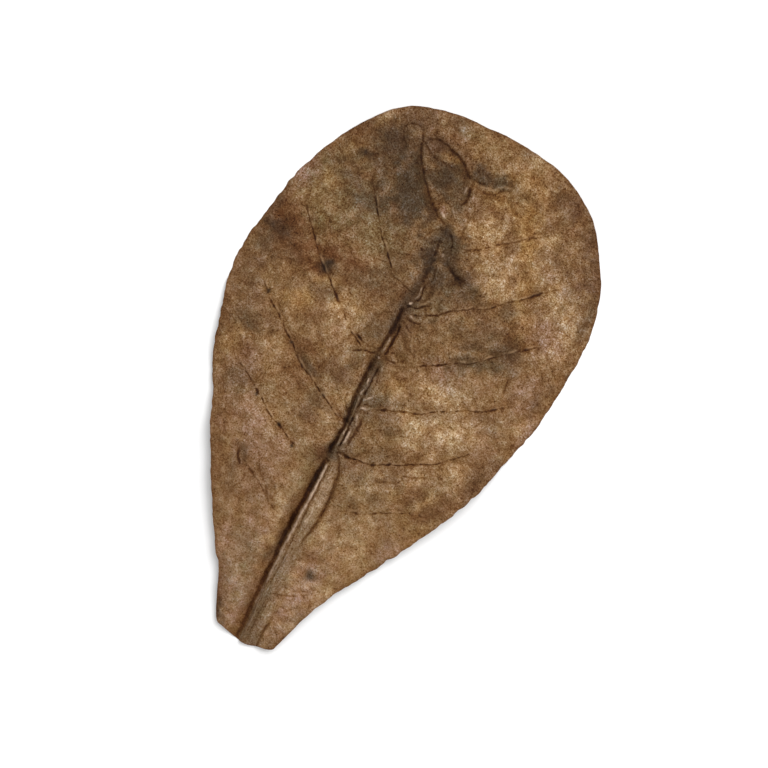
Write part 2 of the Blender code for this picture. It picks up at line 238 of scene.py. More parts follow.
TIP_STROKES = [
    # the two buckled folds, their soft painted shade and the highlights painted on their ridges
    (0.24, 0.47, 0.56, [(-21, 180), (-19.4, 176.5), (-17.8, 172), (-14.5, 167), (-10.5, 162),
                        (-7, 158.7)], -0.12),
    (0, 1.3, 0.6, [(-19.8, 176), (-18.3, 171), (-15, 166), (-11, 161.6), (-7.6, 158.2), (-3, 154.8)]),
    (0, 1.4, 0.6, [(-12, 177.3), (-8, 176), (-4.5, 174.6), (-1.5, 172), (1, 169.5), (1.8, 166),
                   (1.4, 163)]),
    (0, 1.3, 0.5, [(3, 170), (6, 168.8), (9, 169), (12, 171.4)]),
    (0.3, 0.51, 0.62, [(-8.5, 160), (-5, 157), (-2, 155), (0.5, 154)], -0.18),
    (-0.3, 0.45, -0.8, [(-4.2, 158.2), (-2.6, 157), (-1.2, 156)]),
    (0.18, 0.51, 0.43, [(-19, 176.3), (-16, 174), (-13, 173), (-9, 172.6), (-4.5, 172.5)], 0.1),
    (0.21, 0.51, 0.56, [(-18.5, 177.3), (-16, 178.3), (-13.5, 178.5), (-11, 178.1), (-9, 177.3)], 0.08),
    (0.36, 0.55, 0.62, [(-11, 177.9), (-8.5, 177.2), (-5.5, 176.4), (-3.8, 175.6), (-2, 174),
                        (-0.4, 172.4), (1.6, 171.6)], 0.2),
    (0.12, 0.38, 0.5, [(-9.6, 176.8), (-7.4, 176)]),
    (0.24, 0.59, 0.5, [(1.4, 171.8), (2, 169), (2.7, 166), (2.2, 163.4), (0.8, 161.8)], 0.14),
    (-0.3, 0.6, -0.4, [(0.4, 170), (0.9, 168), (1.2, 165.5)]),
    (0.24, 0.42, 0.59, [(1, 171.7), (3.5, 172.1), (6.6, 172)], 0.04),
    (-0.35, 0.4, -0.7, [(4.2, 170.3), (6, 170.9), (8, 171.3), (10, 172.5), (12.5, 174.2),
                        (14.6, 174.9)]),
    (0.18, 0.38, 0.5, [(2.6, 170.8), (5, 169.6), (8, 169.6), (10.5, 171), (12.8, 173), (15, 174.2)]),
    (0.15, 0.34, 0.37, [(5.5, 175.2), (8, 176.4), (10, 177.4), (12.5, 178.4), (14.2, 177.6),
                        (15, 175)]),
    (0.15, 0.38, 0.5, [(-23.4, 172.8), (-25.6, 174.4), (-26.6, 176.6), (-26.2, 178.8), (-24.6, 179.8),
                       (-22.4, 180.2), (-20.6, 179.4)], -0.1),
    (0.09, 0.42, 0.22, [(3.5, 184.5), (4, 181), (3.6, 178), (5, 175.6)]),
    (0.09, 0.34, 0.31, [(-2, 160), (0, 158.6), (1.4, 157)]),
    (-0.2, 0.4, -0.4, [(-0.9, 160.3), (0.8, 159), (2, 157.6)]),
]
BLADE_STROKES = [
    # crumples round the midrib's top end
    (0.25, 0.7, 0.6, [(5.4, 144), (7, 142.2), (9.5, 140.6), (11.5, 139)], 0.1),
    (0.2, 1.5, 0.6, [(8.5, 141.2), (11.5, 139.2), (15, 137.2)]),
    (0.25, 0.6, 0.6, [(9, 140.4), (12, 139.8), (15.5, 140.5)]),
    (0.25, 0.7, 0.6, [(0.1, 149.5), (0.9, 146), (1.2, 142)]),
    (-0.3, 0.5, -0.4, [(-0.3, 145.1), (0.3, 145.5)]),
    (-0.3, 0.5, -0.8, [(2.6, 144.9), (4, 144.8)]),
    (0.15, 0.4, 0.6, [(-5.2, 143.7), (-2.4, 143.1)]),
    (0.2, 0.5, 0.4, [(-4.6, 147.6), (-3.4, 150.6), (-1.4, 152.4), (1.2, 152.6)], 0.1),
    (0.2, 0.5, 0.45, [(1.2, 152.8), (3.2, 151.6), (4.6, 149.4), (5, 146.8)], 0.1),
    (0.2, 0.45, 0.5, [(-1.6, 147), (0.4, 148.6), (2.8, 148.4)], 0.1),
    (0.15, 0.4, 0.5, [(-7.5, 146.5), (-5.2, 147.4), (-3, 146.6)]),
    (0.2, 0.5, 0.45, [(2.8, 141), (3.8, 137.6), (4, 134.2)], 0.1),
    (0.2, 0.7, 0.45, [(7.6, 137), (7.9, 134), (7.2, 130.5)]),
    # lone cracks and wrinkles over the rest of the blade
    (0.3, 0.45, 0.9, [(-11.9, 108.8), (-9.5, 107.9), (-7.5, 107)], 0.2),
    (0.2, 0.6, 0.5, [(41.3, 118.4), (41.4, 114.4), (41.8, 110.5)], 0.1),
    (0.15, 0.45, 0.35, [(10.5, 113), (11.8, 111.3), (13.2, 109.9)], 0.1),
    (0.2, 0.5, 0.4, [(6.4, 115.2), (8.8, 112), (10.2, 108.4)], 0.1),
    (0.12, 0.45, 0.3, [(15.9, 114.9), (17, 113), (18.2, 110.9)], 0.1),
    (0.2, 0.5, 0.85, [(-29.5, 58.3), (-28.7, 55), (-26.6, 52.3)], 0.1),
    (0.15, 0.4, 0.5, [(22.2, 72.4), (26.7, 73.8), (32.2, 76.2)], 0.1),
    (0.12, 0.35, 0.5, [(0.5, 17.5), (3, 18.8), (5, 19.5), (8.5, 20.5), (9.8, 21.8)]),
    (0.1, 0.35, 0.35, [(5, 47), (7, 47.8), (9.5, 49.8)]),
    (0.15, 0.4, 0.5, [(-16, 49.2), (-14.6, 47.6), (-13.4, 46.8)]),
    (0.15, 0.4, 0.4, [(-13.6, 47), (-12.4, 48.6)]),
]
STROKES = MIDRIB_STROKES + JUNCTION_STROKES + TIP_STROKES + BLADE_STROKES

# The lip lies that many of its stroke's widths aside. A stroke fades out at its ends over some widths,
# though over no more than a share of its length, and its painted shade is soft where it is wider than the
# last.
LIP_ASIDE = 1.8
LIP_WIDTH = 1.5
STROKE_STEP = 0.3
STROKE_TAPER = 3.5
TAPER_SHARE = 0.4
SHARPEST_SHADE = 1.1

# Rough layers: height, size and noise layer
RAGGED_MARGIN = [(0.16, 1.8, 30.0), (0.2, 6.0, 31.0)]
BEND_ACROSS = [(0.22, 2.6, 60.0), (0.1, 0.9, 61.0)]
BEND_ALONG = [(0.22, 2.6, 62.0), (0.1, 0.9, 63.0)]
SWELLS = [(0.35, 11.0, 8.0), (0.3, 4.5, 9.0), (0.15, 1.9, 10.0)]

# Close to the midrib: where its flanks end, where their grey shelf lies, and the height of their streaks
FLANK = (1.5, 5.0)
SHELF_SHIFT = 1.2
STREAK_HEIGHT = 0.08

# A hollow is what lies that deep below the average of its surroundings, taken in that many rounds.
# Hollows get painted shade, and places that stand above their surroundings a little painted light.
HOLLOW_DEPTH = 0.15
HOLLOW_ROUNDS = 10

# Stains: x, y, half size across, half size along and strength, then the turn in degrees, if it has one
STAINS = {
    "cream": [
        (-9, 185, 4, 2.4, 0.4), (6, 184, 9, 3.5, 0.1), (22, 184, 8, 4, 0.8, -10), (-34, 178, 4, 4, 0.6),
        (8, 178, 5, 3, 0.4), (25, 178, 5, 4, 0.4), (17, 177, 5, 4, 0.5), (33, 163, 5, 5, 0.7),
        (12, 158, 8, 6, 0.9, 20), (27.3, 154.6, 0.9, 1.1, 1), (36, 154, 4, 4, 0.4),
        (18, 151, 8, 6, 0.7), (0, 150, 5, 6, 0.25), (46, 150, 8, 7, 0.7, -30),
        (11.7, 147.5, 0.5, 0.5, 0.9), (-46, 146, 5, 5, 0.4), (48, 144, 5, 5, 0.6),
        (23.5, 143.5, 6, 5, 1), (25, 142, 6, 5, 0.5), (-27, 141, 7, 5, 0.4), (4, 137, 6, 5, 0.25),
        (52, 137, 6, 6, 0.5), (-5, 135, 3, 3, 0.4), (-16, 134, 3, 3, 0.4), (46, 127, 4, 4, 0.4),
        (-19, 118, 5, 4, 0.3), (-17, 114, 7, 4, 0.5, -10), (-18, 104, 8, 6, 0.4), (52, 104, 3, 4, 0.4),
        (24, 103.5, 9, 4.5, 0.6, 15), (29, 101, 4, 3, 0.4), (10, 96, 4, 3, 0.5),
        (36, 94, 9, 6, 0.6, 20), (20, 91.5, 10, 4.5, 0.55, 15), (-34, 90, 5, 5, 0.3),
        (-8, 89, 5, 4, 0.4), (-33, 85, 4, 6, 0.1), (29, 84, 3, 4, 0.3), (22, 83, 6, 3, 0.4),
        (40, 81, 5, 5, 0.5), (-9, 78, 3.5, 3, 0.5), (28, 73, 5, 4, 0.4), (-24, 72, 6, 5, 0.3),
        (33, 69, 4, 5, 0.5), (15, 66, 7, 5, 0.7), (27, 64, 6, 5, 0.4), (1.9, 56, 2, 10, 0.5),
        (20, 56, 7, 9, 0.3, -10), (-9, 48, 3.5, 10, 0.4), (13, 47, 6, 7, 0.4), (8, 41, 5, 6, 0.2),
        (20, 41, 5, 8, 0.3, -10), (-8, 27, 4, 9, 0.6), (9, 27, 5, 6, 0.75), (16.5, 26.5, 4, 5, 0.4),
        (-18, 21, 3, 6, 0.4), (9, 17, 6, 8, 0.8), (-12, 16, 4, 5, 0.4), (-12, 13, 5, 11, 0.6, 5),
        (5, 8, 4, 7, 0.4),
    ],
    "rosy": [
        (-2.8, 158.5, 1.6, 1.2, 0.9, -40), (-50, 150, 5, 6, 1), (-30, 140, 6, 5, 0.3),
        (46, 136, 7, 6, 0.6), (50, 115, 7, 9, 0.4), (20, 110, 6, 4, 0.4), (57, 108, 3, 7, 0.6),
        (55, 101, 3, 4, 0.5), (42, 93, 6, 5, 0.5), (-40, 84, 6, 8, 0.5), (-33, 68, 9, 8, 0.4),
        (-22, 62, 9, 8, 0.3), (-20, 50, 12, 12, 0.2), (31, 50, 3, 8, 0.5, -30), (10, 28, 6, 9, 0.4),
        (-20, 27, 3, 9, 0.4, 20), (-12, 20, 7, 20, 0.7, 5), (-5, 20, 5, 16, 0.3),
        (9, 20, 6, 16, 0.5, -10), (8, 13, 3.5, 9, 0.5, -10),
    ],
    "olive": [
        (-36, 160, 8, 8, 0.6), (-38, 145, 12, 12, 0.8), (-20, 141, 11, 7, 0.7), (5, 129, 6, 5, 0.6),
        (12, 83, 8, 4, 0.3, 15), (16, 62, 8, 6, 0.3), (-6, 60, 4, 9, 0.4), (-14, 24, 5, 12, 0.4, 5),
        (-9, 20, 3, 12, 0.4),
    ],
    "mauve": [
        (-10, 186, 5, 3, 0.4), (-24, 185, 6, 4, 0.5), (26, 184, 6, 4, 0.6), (-22, 183, 5, 4, 0.4),
        (-26, 182, 10, 4, 0.2, -18), (33, 180, 8, 5, 0.6, 25), (-22, 178, 5, 4, 0.7),
        (37, 178, 3, 4, 0.75), (-14, 175, 5, 4, 0.95), (-36, 174, 5, 5, 0.4), (-24, 173, 6, 6, 0.5),
        (-8, 173, 5, 4, 0.5), (48, 173, 8, 7, 0.6, 40), (-41, 170, 6, 6, 0.7, -50),
        (-33, 167, 3, 4, 0.4), (5, 164, 5, 7, 0.3), (37, 162, 7, 5, 0.2), (-26, 160, 9, 8, 0.3),
        (41, 160, 8, 5, 0.2), (53.5, 160, 5, 9, 0.7, 20), (-37, 158, 4, 7, 0.5), (46, 156, 4, 4, 0.3),
        (48, 153, 4, 4, 0.3), (2, 152, 60, 36, 0.2), (50, 152, 7, 10, 0.3), (-30, 148, 5, 5, 0.3),
        (-38, 143, 4, 3, 0.4), (18, 143, 3, 6, 0.4, -30), (57, 142, 2.5, 8, 0.5), (38, 132, 8, 4, 0.1),
        (27, 131, 8, 3, 0.3), (-43, 129, 5, 3, 0.4), (14, 127, 5, 3, 0.4), (0, 126, 6, 9, 0.6),
        (33, 126, 7, 5, 0.3), (-48, 124, 6, 6, 0.5), (42.5, 121, 8, 9, 0.15, 10), (4, 118, 4, 6, 0.3),
        (-36, 114, 5, 4, 0.3), (54, 113, 4, 5, 0.4), (56, 113, 4, 5, 0.7), (-53, 112, 6, 9, 0.5),
        (25, 112, 5, 5, 0.2), (26, 106, 6, 2.5, 0.35), (-47, 103, 6, 6, 0.5), (41, 101, 5, 4, 0.4),
        (-38, 100, 4, 4, 0.4), (11, 98, 6, 5, 0.15), (35, 96, 12, 4, 0.25), (-12, 95, 7, 5, 0.5),
        (-8, 94, 4, 5, 0.4), (21, 94, 4, 3, 0.4), (-52, 92, 4, 8, 0.4), (38, 89, 5, 5, 0.2),
        (10, 88, 3, 3, 0.5), (10, 86, 8, 4, 0.3), (47, 84, 4, 10, 0.5, -20), (-14, 78, 5, 4, 0.5),
        (-10, 78, 6, 2.5, 0.3), (0, 77, 4, 5, 0.3), (48, 76, 4, 6, 0.4), (35, 73, 4, 4, 0.3),
        (2.5, 71, 3, 5, 0.5), (22, 71, 7, 5, 0.4), (11, 68, 10, 4, 0.35), (-4, 66, 5, 5, 0.3),
        (10, 66, 4, 5, 0.3), (20, 66, 8, 5, 0.3), (34, 60, 4, 12, 0.5, -35), (2, 58, 3, 8, 0.3),
        (22, 58, 5, 4, 0.35), (-29, 54, 3, 8, 0.5), (-5, 50, 4, 8, 0.35), (-22, 48, 10, 7, 0.25),
        (13, 48, 5, 6, 0.35), (-40, 47, 4, 12, 0.4, 25), (-6, 20, 3, 16, 0.2), (13, 15, 3, 6, 0.4),
        (-15, 10, 3, 8, 0.9), (4, 9, 3, 9, 0.3), (10, 4, 3, 4, 0.4), (5, 2, 5, 3, 0.4),
    ],
    "ochre": [
        (2, 184, 8, 5, 0.3), (22, 184, 8, 4, 0.4), (16, 180, 9, 5, 0.4), (-23.5, 177, 3, 2.4, 0.4),
        (-30, 175, 5, 4, 0.3), (-8.5, 174.7, 3.5, 1.5, 0.9, 10), (20, 174, 8, 5, 0.5),
        (14, 170, 9, 4, 0.5, -5), (-38, 166, 8, 8, 0.3), (25, 166, 5, 5, 0.9), (40, 163, 5, 4, 0.1),
        (28.5, 158, 3, 6, 0.9), (-42, 152, 4, 5, 0.5), (0, 150, 7, 8, 0.4), (32.5, 147, 3, 9, 0.6, -5),
        (-40, 143, 8, 5, 0.3), (36, 139, 4, 4, 0.3), (40, 134, 6, 6, 0.3), (18, 128, 5, 3, 0.4),
        (-27, 120, 5, 2.5, 0.6, 20), (57, 115, 3, 8, 0.4), (-33, 111, 5, 4, 0.7),
        (8.5, 98.5, 4, 3, 0.5), (41, 94, 6, 5, 0.3), (-47, 88, 5, 5, 0.4), (34, 70, 5, 4, 0.3),
        (30, 66, 5, 6, 0.4), (34, 56, 5, 8, 0.4, -20),
    ],
    "red": [
        (24, 185, 8, 4, 0.15, -10), (20, 182, 9, 5, 0.1), (-10, 181, 6, 3, 0.4), (-27, 172, 7, 7, 0.4),
        (-40, 170, 5, 8, 0.3, -40), (2, 152, 60, 36, 0.12), (-41, 145, 5, 5, 0.2),
        (-54, 136, 4, 8, 0.5, 8), (-49, 132, 8, 9, 0.9, -10), (-28, 129, 14, 2.6, 0.9, 3),
        (40, 127, 6, 5, 0.4), (-18, 126, 8, 5, 0.2), (-40, 125, 7, 6, 0.7), (-35, 124, 8, 3, 0.5),
        (-25, 124, 9, 4, 0.3), (56, 120, 3, 8, 0.1), (56, 116, 3, 6, 0.2), (-24, 106, 7, 5, 0.4),
        (-16, 103, 6, 4, 0.4), (-24, 97.5, 6, 3, 0.7), (-15, 95, 5, 3, 0.2), (-54, 90, 2.5, 20, 0.4, 8),
        (-43, 88, 6, 4, 0.3), (-25, 88, 9, 4, 0.4, -25), (44, 88, 3, 10, 0.3, -15),
        (16, 79, 9, 3, 0.2, 15), (-4, 68.3, 2.6, 2.8, 1), (30, 68, 3, 7, 0.7, -20),
        (38, 67, 3, 12, 0.6, -35), (-37, 56, 2.5, 24, 0.5, 22), (-16, 14, 2.5, 12, 0.5, 18),
    ],
    "grey": [
        (-8, 185, 7, 3, 0.3), (16, 185, 5, 3, 0.2), (5, 179, 4, 7, 0.2),
        (9.8, 174.8, 4.6, 2.4, 0.9, 20), (16, 174, 5, 4, 0.4), (-9, 173, 5, 3, 0.3),
        (-7, 168.5, 8, 6, 0.65), (-28, 168, 8, 10, 0.5), (0, 164, 3, 8, 0.5), (-8, 162, 4, 4, 0.4),
        (-15.6, 158.7, 6.5, 13, 0.9, 26), (-40, 157, 8, 7, 0.4), (-25, 151, 7, 6, 0.8),
        (0, 149, 6, 9, 0.4), (3, 149, 5, 5, 0.8), (56, 148, 3, 6, 0.3), (7, 147, 6, 5, 0.6),
        (9, 137, 8, 6, 0.5), (18, 137, 6, 4, 0.3), (32, 137, 3.5, 4, 0.5), (-10, 133, 6, 9, 0.4),
        (13, 131, 11, 7, 0.3, 15), (-16, 126, 7, 5, 0.3), (24, 125, 12, 4, 0.4, 10),
        (-54, 123, 4, 6, 0.4), (5, 122, 5, 5, 0.25), (36, 122, 6, 6, 0.4), (-26.7, 117.1, 5, 3.3, 0.5),
        (27, 116, 10, 3, 0.7, 22), (-7, 113, 4, 6, 0.5), (8, 109, 6, 9, 0.15), (-7, 102, 4, 5, 0.4),
        (-44.8, 97.2, 5, 3.5, 0.6), (7, 92, 7, 2.6, 0.45, 20), (4, 90, 5, 7, 0.3),
        (-14, 84, 6, 3, 0.45, -20), (-40, 78, 6, 5, 0.5), (-17, 77, 6, 4, 0.05),
        (14, 75, 10, 3, 0.3, 18), (10, 63, 6, 6, 0.1), (12, 55, 6, 4, 0.2), (10.4, 29.5, 2.2, 2.2, 0.8),
        (0, 12, 1.8, 16, 0.5),
    ],
    # Those along the midrib stand partly for its dark tissue and partly for painted shade in its groove.
    "dark": [
        (-10, 177.5, 13, 2.6, 0.3, -8), (3, 174, 4.5, 4, 0.6), (46, 174, 5, 5, 0.1),
        (-26.5, 173, 8, 7, 0.6), (-7.5, 168, 6, 5, 0.5), (-34.6, 164.5, 3, 2, 0.9),
        (-15.6, 158.7, 6, 12.5, 0.5, 26), (-5.6, 155, 2.4, 2.6, 0.7), (2, 151.8, 3, 3, 0.7),
        (3, 149, 5, 4, 0.1), (0, 146, 4, 8, 0.3), (-2, 143, 4, 5, 0.5), (0.8, 141.3, 3, 3.6, 0.8),
        (10.5, 141.2, 8, 2.6, 0.6, -28), (4.8, 137, 4, 4, 0.6), (-55, 136, 3, 9, 0.4, 8),
        (0.5, 133, 2, 6, 0.6), (-49, 129, 5, 4.5, 0.6), (60, 126.7, 1.8, 1.5, 0.8), (0, 125, 4, 4, 0.5),
        (-29.8, 124.5, 2.6, 3, 0.9), (-41, 124, 4, 4, 0.2), (38, 124, 4, 6, 0.4, 10),
        (25, 121, 5, 1.6, 0.4, 20), (56.6, 120.9, 2, 1.7, 0.4), (-0.5, 119, 2, 8, 0.6),
        (-3.4, 115, 2.4, 7, 0.3), (-43.7, 108.9, 0.7, 1, 0.9), (0, 101, 2.4, 6, 0.5),
        (-2.5, 100, 1.2, 6, 0.3), (-29.1, 96.8, 0.7, 0.7, 0.9), (-1.2, 95, 2, 11, 0.5),
        (-21.5, 92.5, 6, 1.8, 0.6, -28), (0, 90, 2.4, 5, 0.35), (-11.9, 85.4, 0.7, 0.7, 0.9),
        (-2.5, 85, 1.2, 5, 0.3), (12.5, 83.5, 3, 2.2, 0.3), (47, 83, 2.5, 6, 0.1, -10),
        (-1, 82, 2, 2.5, 0.8), (0, 77, 2.5, 9, 0.35), (-32.1, 76.2, 0.7, 0.7, 0.9),
        (-21.2, 70.4, 0.7, 0.7, 0.9), (-0.8, 70, 2.5, 4, 0.55), (0, 70, 3, 3, 0.3),
        (-3.8, 68, 1.8, 3.6, 0.3), (31, 66, 2, 7, 0.2, -20), (-14.1, 65.8, 0.7, 0.7, 0.9),
        (-2.2, 60, 1.6, 6, 0.6), (-27.5, 56.5, 1.2, 2.6, 0.3, 30), (-3.6, 35, 1.6, 8, 0.5),
        (-5.4, 29.5, 1.3, 3, 0.4), (10.4, 29.5, 1.5, 1.5, 0.5), (-13, 4, 4, 4, 0.8),
    ],
}

# Spacing of the blade's points

MARGIN_STEP = 0.6
LINE_STEP = 0.5
UPPER_STEP = 0.62
LOWER_STEP = 1.6
CLOSEST = 0.24
VEIN_LINES = (-1.6, -1.1, -0.75, -0.45, -0.15, 0.15, 0.45, 0.9, 1.5)
STROKE_LINES = (-1.5, -0.9, -0.45, 0, 0.45, 0.9, 1.5)
LOWER_LINES = (-2.4, -1.2, 0, 1.2, 2.4)
VEIN_START = 2.5
LINES_SHARE = 0.995  # lines end at that share of the way to the margin, and that far in from it
LINES_INWARD = 0.4
FIELD_CLEAR = 0.62  # share of their own step that the other points keep off the lines


# Curves and falls

def fade(low, high, value):
    """0 below low, 1 above high, and smooth between them."""
    t = np.clip((value - low) / (high - low), 0, 1)
    return t * t * (3 - 2 * t)


def bump(distance, width):
    """1 on a line, falling smoothly to almost 0 at twice the width."""
    return np.exp(-((distance / width) ** 2))


def smooth_line(knots, step, closed=False):
    """Evenly spaced points on the smooth curve through the given ones."""
    p = np.array(knots, float)
    if closed:
        p = np.vstack([p[-1], p, p[0], p[1]])
    else:
        p = np.vstack([2 * p[0] - p[1], p, 2 * p[-1] - p[-2]])
    a, b, c, d = p[:-3, None], p[1:-2, None], p[2:-1, None], p[3:, None]
    t = np.linspace(0, 1, 40, endpoint=False)[None, :, None]
    curve = 0.5 * (
        2 * b + (c - a) * t + (2 * a - 5 * b + 4 * c - d) * t**2 + (3 * b - 3 * c + d - a) * t**3
    )
    fine = np.vstack([curve.reshape(-1, 2), p[-2]])
    length = np.r_[0, np.cumsum(np.hypot(*np.diff(fine, axis=0).T))]
    count = max(2, round(length[-1] / step))
    wanted = np.linspace(0, length[-1], count + 1)[: count if closed else None]
    return np.column_stack([np.interp(wanted, length, fine[:, i]) for i in (0, 1)])


def direction(line):
    """The way the line runs at each of its points, as unit vectors."""
    along = np.gradient(line, axis=0)
    return along / np.hypot(*along.T)[:, None]


def beside(line, aside):
    """The line moved sideways, to its left where aside is positive."""
    along = direction(line)
    return line + aside * np.column_stack([-along[:, 1], along[:, 0]])


def roughly(x, y, size, layer):
    """Smooth irregular values from about -1 to 1 that change over that many millimetres."""
    return np.array([noise.noise((a / size, b / size, layer)) for a, b in zip(x, y)]) * 1.6


def rough_sum(x, y, layers):
    """Rough layers together, each with its own height, size and noise layer."""
    return sum(height * roughly(x, y, size, layer) for height, size, layer in layers)


# The blade's outline

def leaf_outline():
    """The margin in uneven shallow scallops, lower on the left and fading to the tip and the stalk."""
    line = smooth_line(MARGIN, MARGIN_STEP, closed=True)
    run = np.arange(len(line)) * MARGIN_STEP
    turns = run / SCALLOP_LENGTH + 0.3 * np.sin(run / 13) + 0.2 * np.sin(run / 5.3 + 1)
    side = np.where(line[:, 0] < 0, LEFT_SCALLOPS, 1)
    scallops = SCALLOP_HEIGHT * (np.abs(np.sin(math.pi * turns)) - 0.65) * side
    scallops *= 0.55 + 0.45 * np.sin(run / 37)
    ragged = rough_sum(*line.T, RAGGED_MARGIN)
    out = (scallops + ragged) * fade(4, 30, line[:, 1]) * (1 - 0.6 * fade(145, 165, line[:, 1]))
    along = direction(np.vstack([line[-1], line, line[0]]))[1:-1]
    return line + out[:, None] * np.column_stack([along[:, 1], -along[:, 0]])


def bearing(x, y):
    return np.arctan2(y - HEART[1], x - HEART[0])


def margin_share(x, y, margin):
    """0 at the blade's heart and 1 at its margin, on the bearing of each point."""
    to_margin = np.hypot(*(margin - HEART).T)
    reach = np.interp(bearing(x, y), bearing(*margin.T), to_margin, period=math.tau)
    return np.hypot(x - HEART[0], y - HEART[1]) / reach


def point_tree(points):
    tree = KDTree(len(points))
    for i, (x, y) in enumerate(points):
        tree.insert((x, y, 0), i)
    tree.balance()
    return tree


def from_margin(x, y, margin):
    """Distance in from the nearest point of the margin."""
    tree = point_tree(margin)
    return np.array([tree.find((a, b, 0))[2] for a, b in zip(x, y)])


# Veins, midrib and creases

def vein_wander(out, start):
    """How far a side vein strays from its plain curve."""
    stray = 0.4 * np.sin(out / 3.3 + start) + 0.2 * np.sin(out / 1.5 + 2 * start)
    jags = 0.28 * roughly(out, np.full(len(out), start), 1.3, 12.0)
    return (stray + jags) * fade(3, 12, out)


def vein_line(vein, aside):
    """Points along a side vein, or along a line beside it."""
    side, start, rise, curl, reach = vein
    x = np.linspace(VEIN_START, reach, round((reach - VEIN_START) / LINE_STEP))
    line = np.column_stack([x, start + rise * x + curl * x * x + vein_wander(x, start)])
    return beside(line, aside) * (side, 1)


def veins_at(x, y, width):
    """How strongly the side veins shape the blade: 1 on a vein, fading beside it and at its ends."""
    strongest = np.zeros(len(x))
    for side, start, rise, curl, reach in SIDE_VEINS:
        out = side * x
        distance = (y - start - rise * out - curl * out * out) / np.hypot(1, rise + 2 * curl * out)
        ends = fade(0, 5, out) * (1 - fade(0.75 * reach, reach + 6, out))
        strongest = np.maximum(strongest, bump(distance, width) * ends)
    return strongest


def vein_threads(x, y):
    """Height of the side veins' threads and creases, with masks of their painted highlight and painted
    shade.
    """
    height, thread, crease, shade = np.zeros((4, len(x)))
    for (side, start, rise, curl, reach), (plainness, begin) in zip(SIDE_VEINS, VEIN_LOOKS):
        out = side * x
        plain = start + rise * out + curl * out * out
        slope = np.hypot(1, rise + 2 * curl * out)
        near = np.nonzero((np.abs(y - plain) < 6) & (out > 0) & (out < reach + 6))[0]
        out = out[near]
        distance = (y[near] - plain[near] - vein_wander(out, start)) / slope[near]
        level = np.full(len(out), start)
        ends = plainness * fade(begin - 1, begin + 1, out) * (1 - fade(0.8 * reach, reach + 3, out))
        firm = ends * np.clip(0.35 + 1.1 * roughly(out, level, 2.2, 1.0), 0.0, 1.3)
        knot = fade(0.25, 0.7, roughly(out, level, 2.4, 4.0))
        gap = ends * np.clip(0.75 + 0.9 * roughly(out, level, 1.5, 2.0) + 0.5 * knot, 0.3, 1.3)
        patch = ends * np.clip(0.5 + 1.0 * roughly(out, level, 7.0, 3.0), 0.0, 1.2)
        line = firm * bump(distance - 0.1, THREAD_WIDTH)
        cut = gap * bump(distance + CREASE_ASIDE, CREASE_WIDTH * (0.8 + 0.9 * knot))
        furrow = VEIN_FURROW_DEPTH * ends * bump(distance, VEIN_FURROW_WIDTH)
        height[near] += THREAD_HEIGHT * line - CREASE_DEPTH * cut - furrow
        thread[near] = np.maximum(thread[near], line)
        crease[near] = np.maximum(crease[near], cut)
        shade[near] = np.maximum(shade[near], patch * bump(distance + 0.4, VEIN_FURROW_WIDTH))
    return height, thread, crease, shade


def stroke_marks(x, y):
    """Height of ridges, grooves and creases, with masks of their painted shade, highlights and soft shade.
    """
    height, dark, pale, soft = np.zeros((4, len(x)))
    bent_x = x + rough_sum(x, y, BEND_ACROSS)
    bent_y = y + rough_sum(x, y, BEND_ALONG)
    firmness = np.clip(0.95 + 0.4 * roughly(x, y, 1.5, 64.0), 0.4, 1.2)
    for depth, width, darkness, knots, *lip in STROKES:
        line = smooth_line(knots, STROKE_STEP)
        reach = 4 * width + 0.5  # nothing of the bent stroke is left further off
        low, high = line.min(axis=0) - reach, line.max(axis=0) + reach
        near = np.nonzero((x > low[0]) & (x < high[0]) & (y > low[1]) & (y < high[1]))[0]
        apart_x, apart_y = bent_x[near, None] - line[:, 0], bent_y[near, None] - line[:, 1]
        away = np.hypot(apart_x, apart_y)
        nearest = away.argmin(axis=1)
        rows = np.arange(len(near))
        along = direction(line)[nearest]
        left = np.sign(along[:, 0] * apart_y[rows, nearest] - along[:, 1] * apart_x[rows, nearest])
        distance = away[rows, nearest]
        from_end = np.minimum(nearest, len(line) - 1 - nearest) * STROKE_STEP
        broken = firmness[near] ** (0.35 / max(0.35, width))
        ends = min(STROKE_TAPER * width, TAPER_SHARE * len(line) * STROKE_STEP)
        taper = broken * (0.25 + 0.75 * fade(0, ends, from_end))
        profile = bump(distance, width)
        height[near] -= taper * depth * profile
        for rise in lip:
            aside = left * distance - math.copysign(LIP_ASIDE * width, rise)
            height[near] += taper * abs(rise) * bump(aside, LIP_WIDTH * width)
        shown = pale if darkness < 0 else soft if width > SHARPEST_SHADE else dark
        shown[near] = np.maximum(shown[near], taper * abs(darkness) * profile)
    return height, dark, pale, soft


def midrib_size(y):
    """The midrib's share of its full size: all at the broken end and none at MIDRIB_TOP."""
    return 1 - 0.5 * fade(0, 90, y) - 0.5 * fade(90, MIDRIB_TOP, y)


def from_midrib(x, y):
    path = smooth_line(MIDRIB_PATH, 1.0)
    return x - np.interp(y, path[:, 1], path[:, 0])


def midrib_crest(x, y):
    """The midrib's ridge on the upper face, steep on its left side."""
    from_crest, size = from_midrib(x, y) - CREST_SHIFT, midrib_size(y)
    fall = np.where(from_crest < 0, CREST_STEEP_WIDTH, 0.5 + CREST_GENTLE_WIDTH * size)
    return CREST_HEIGHT * size * bump(from_crest, fall)


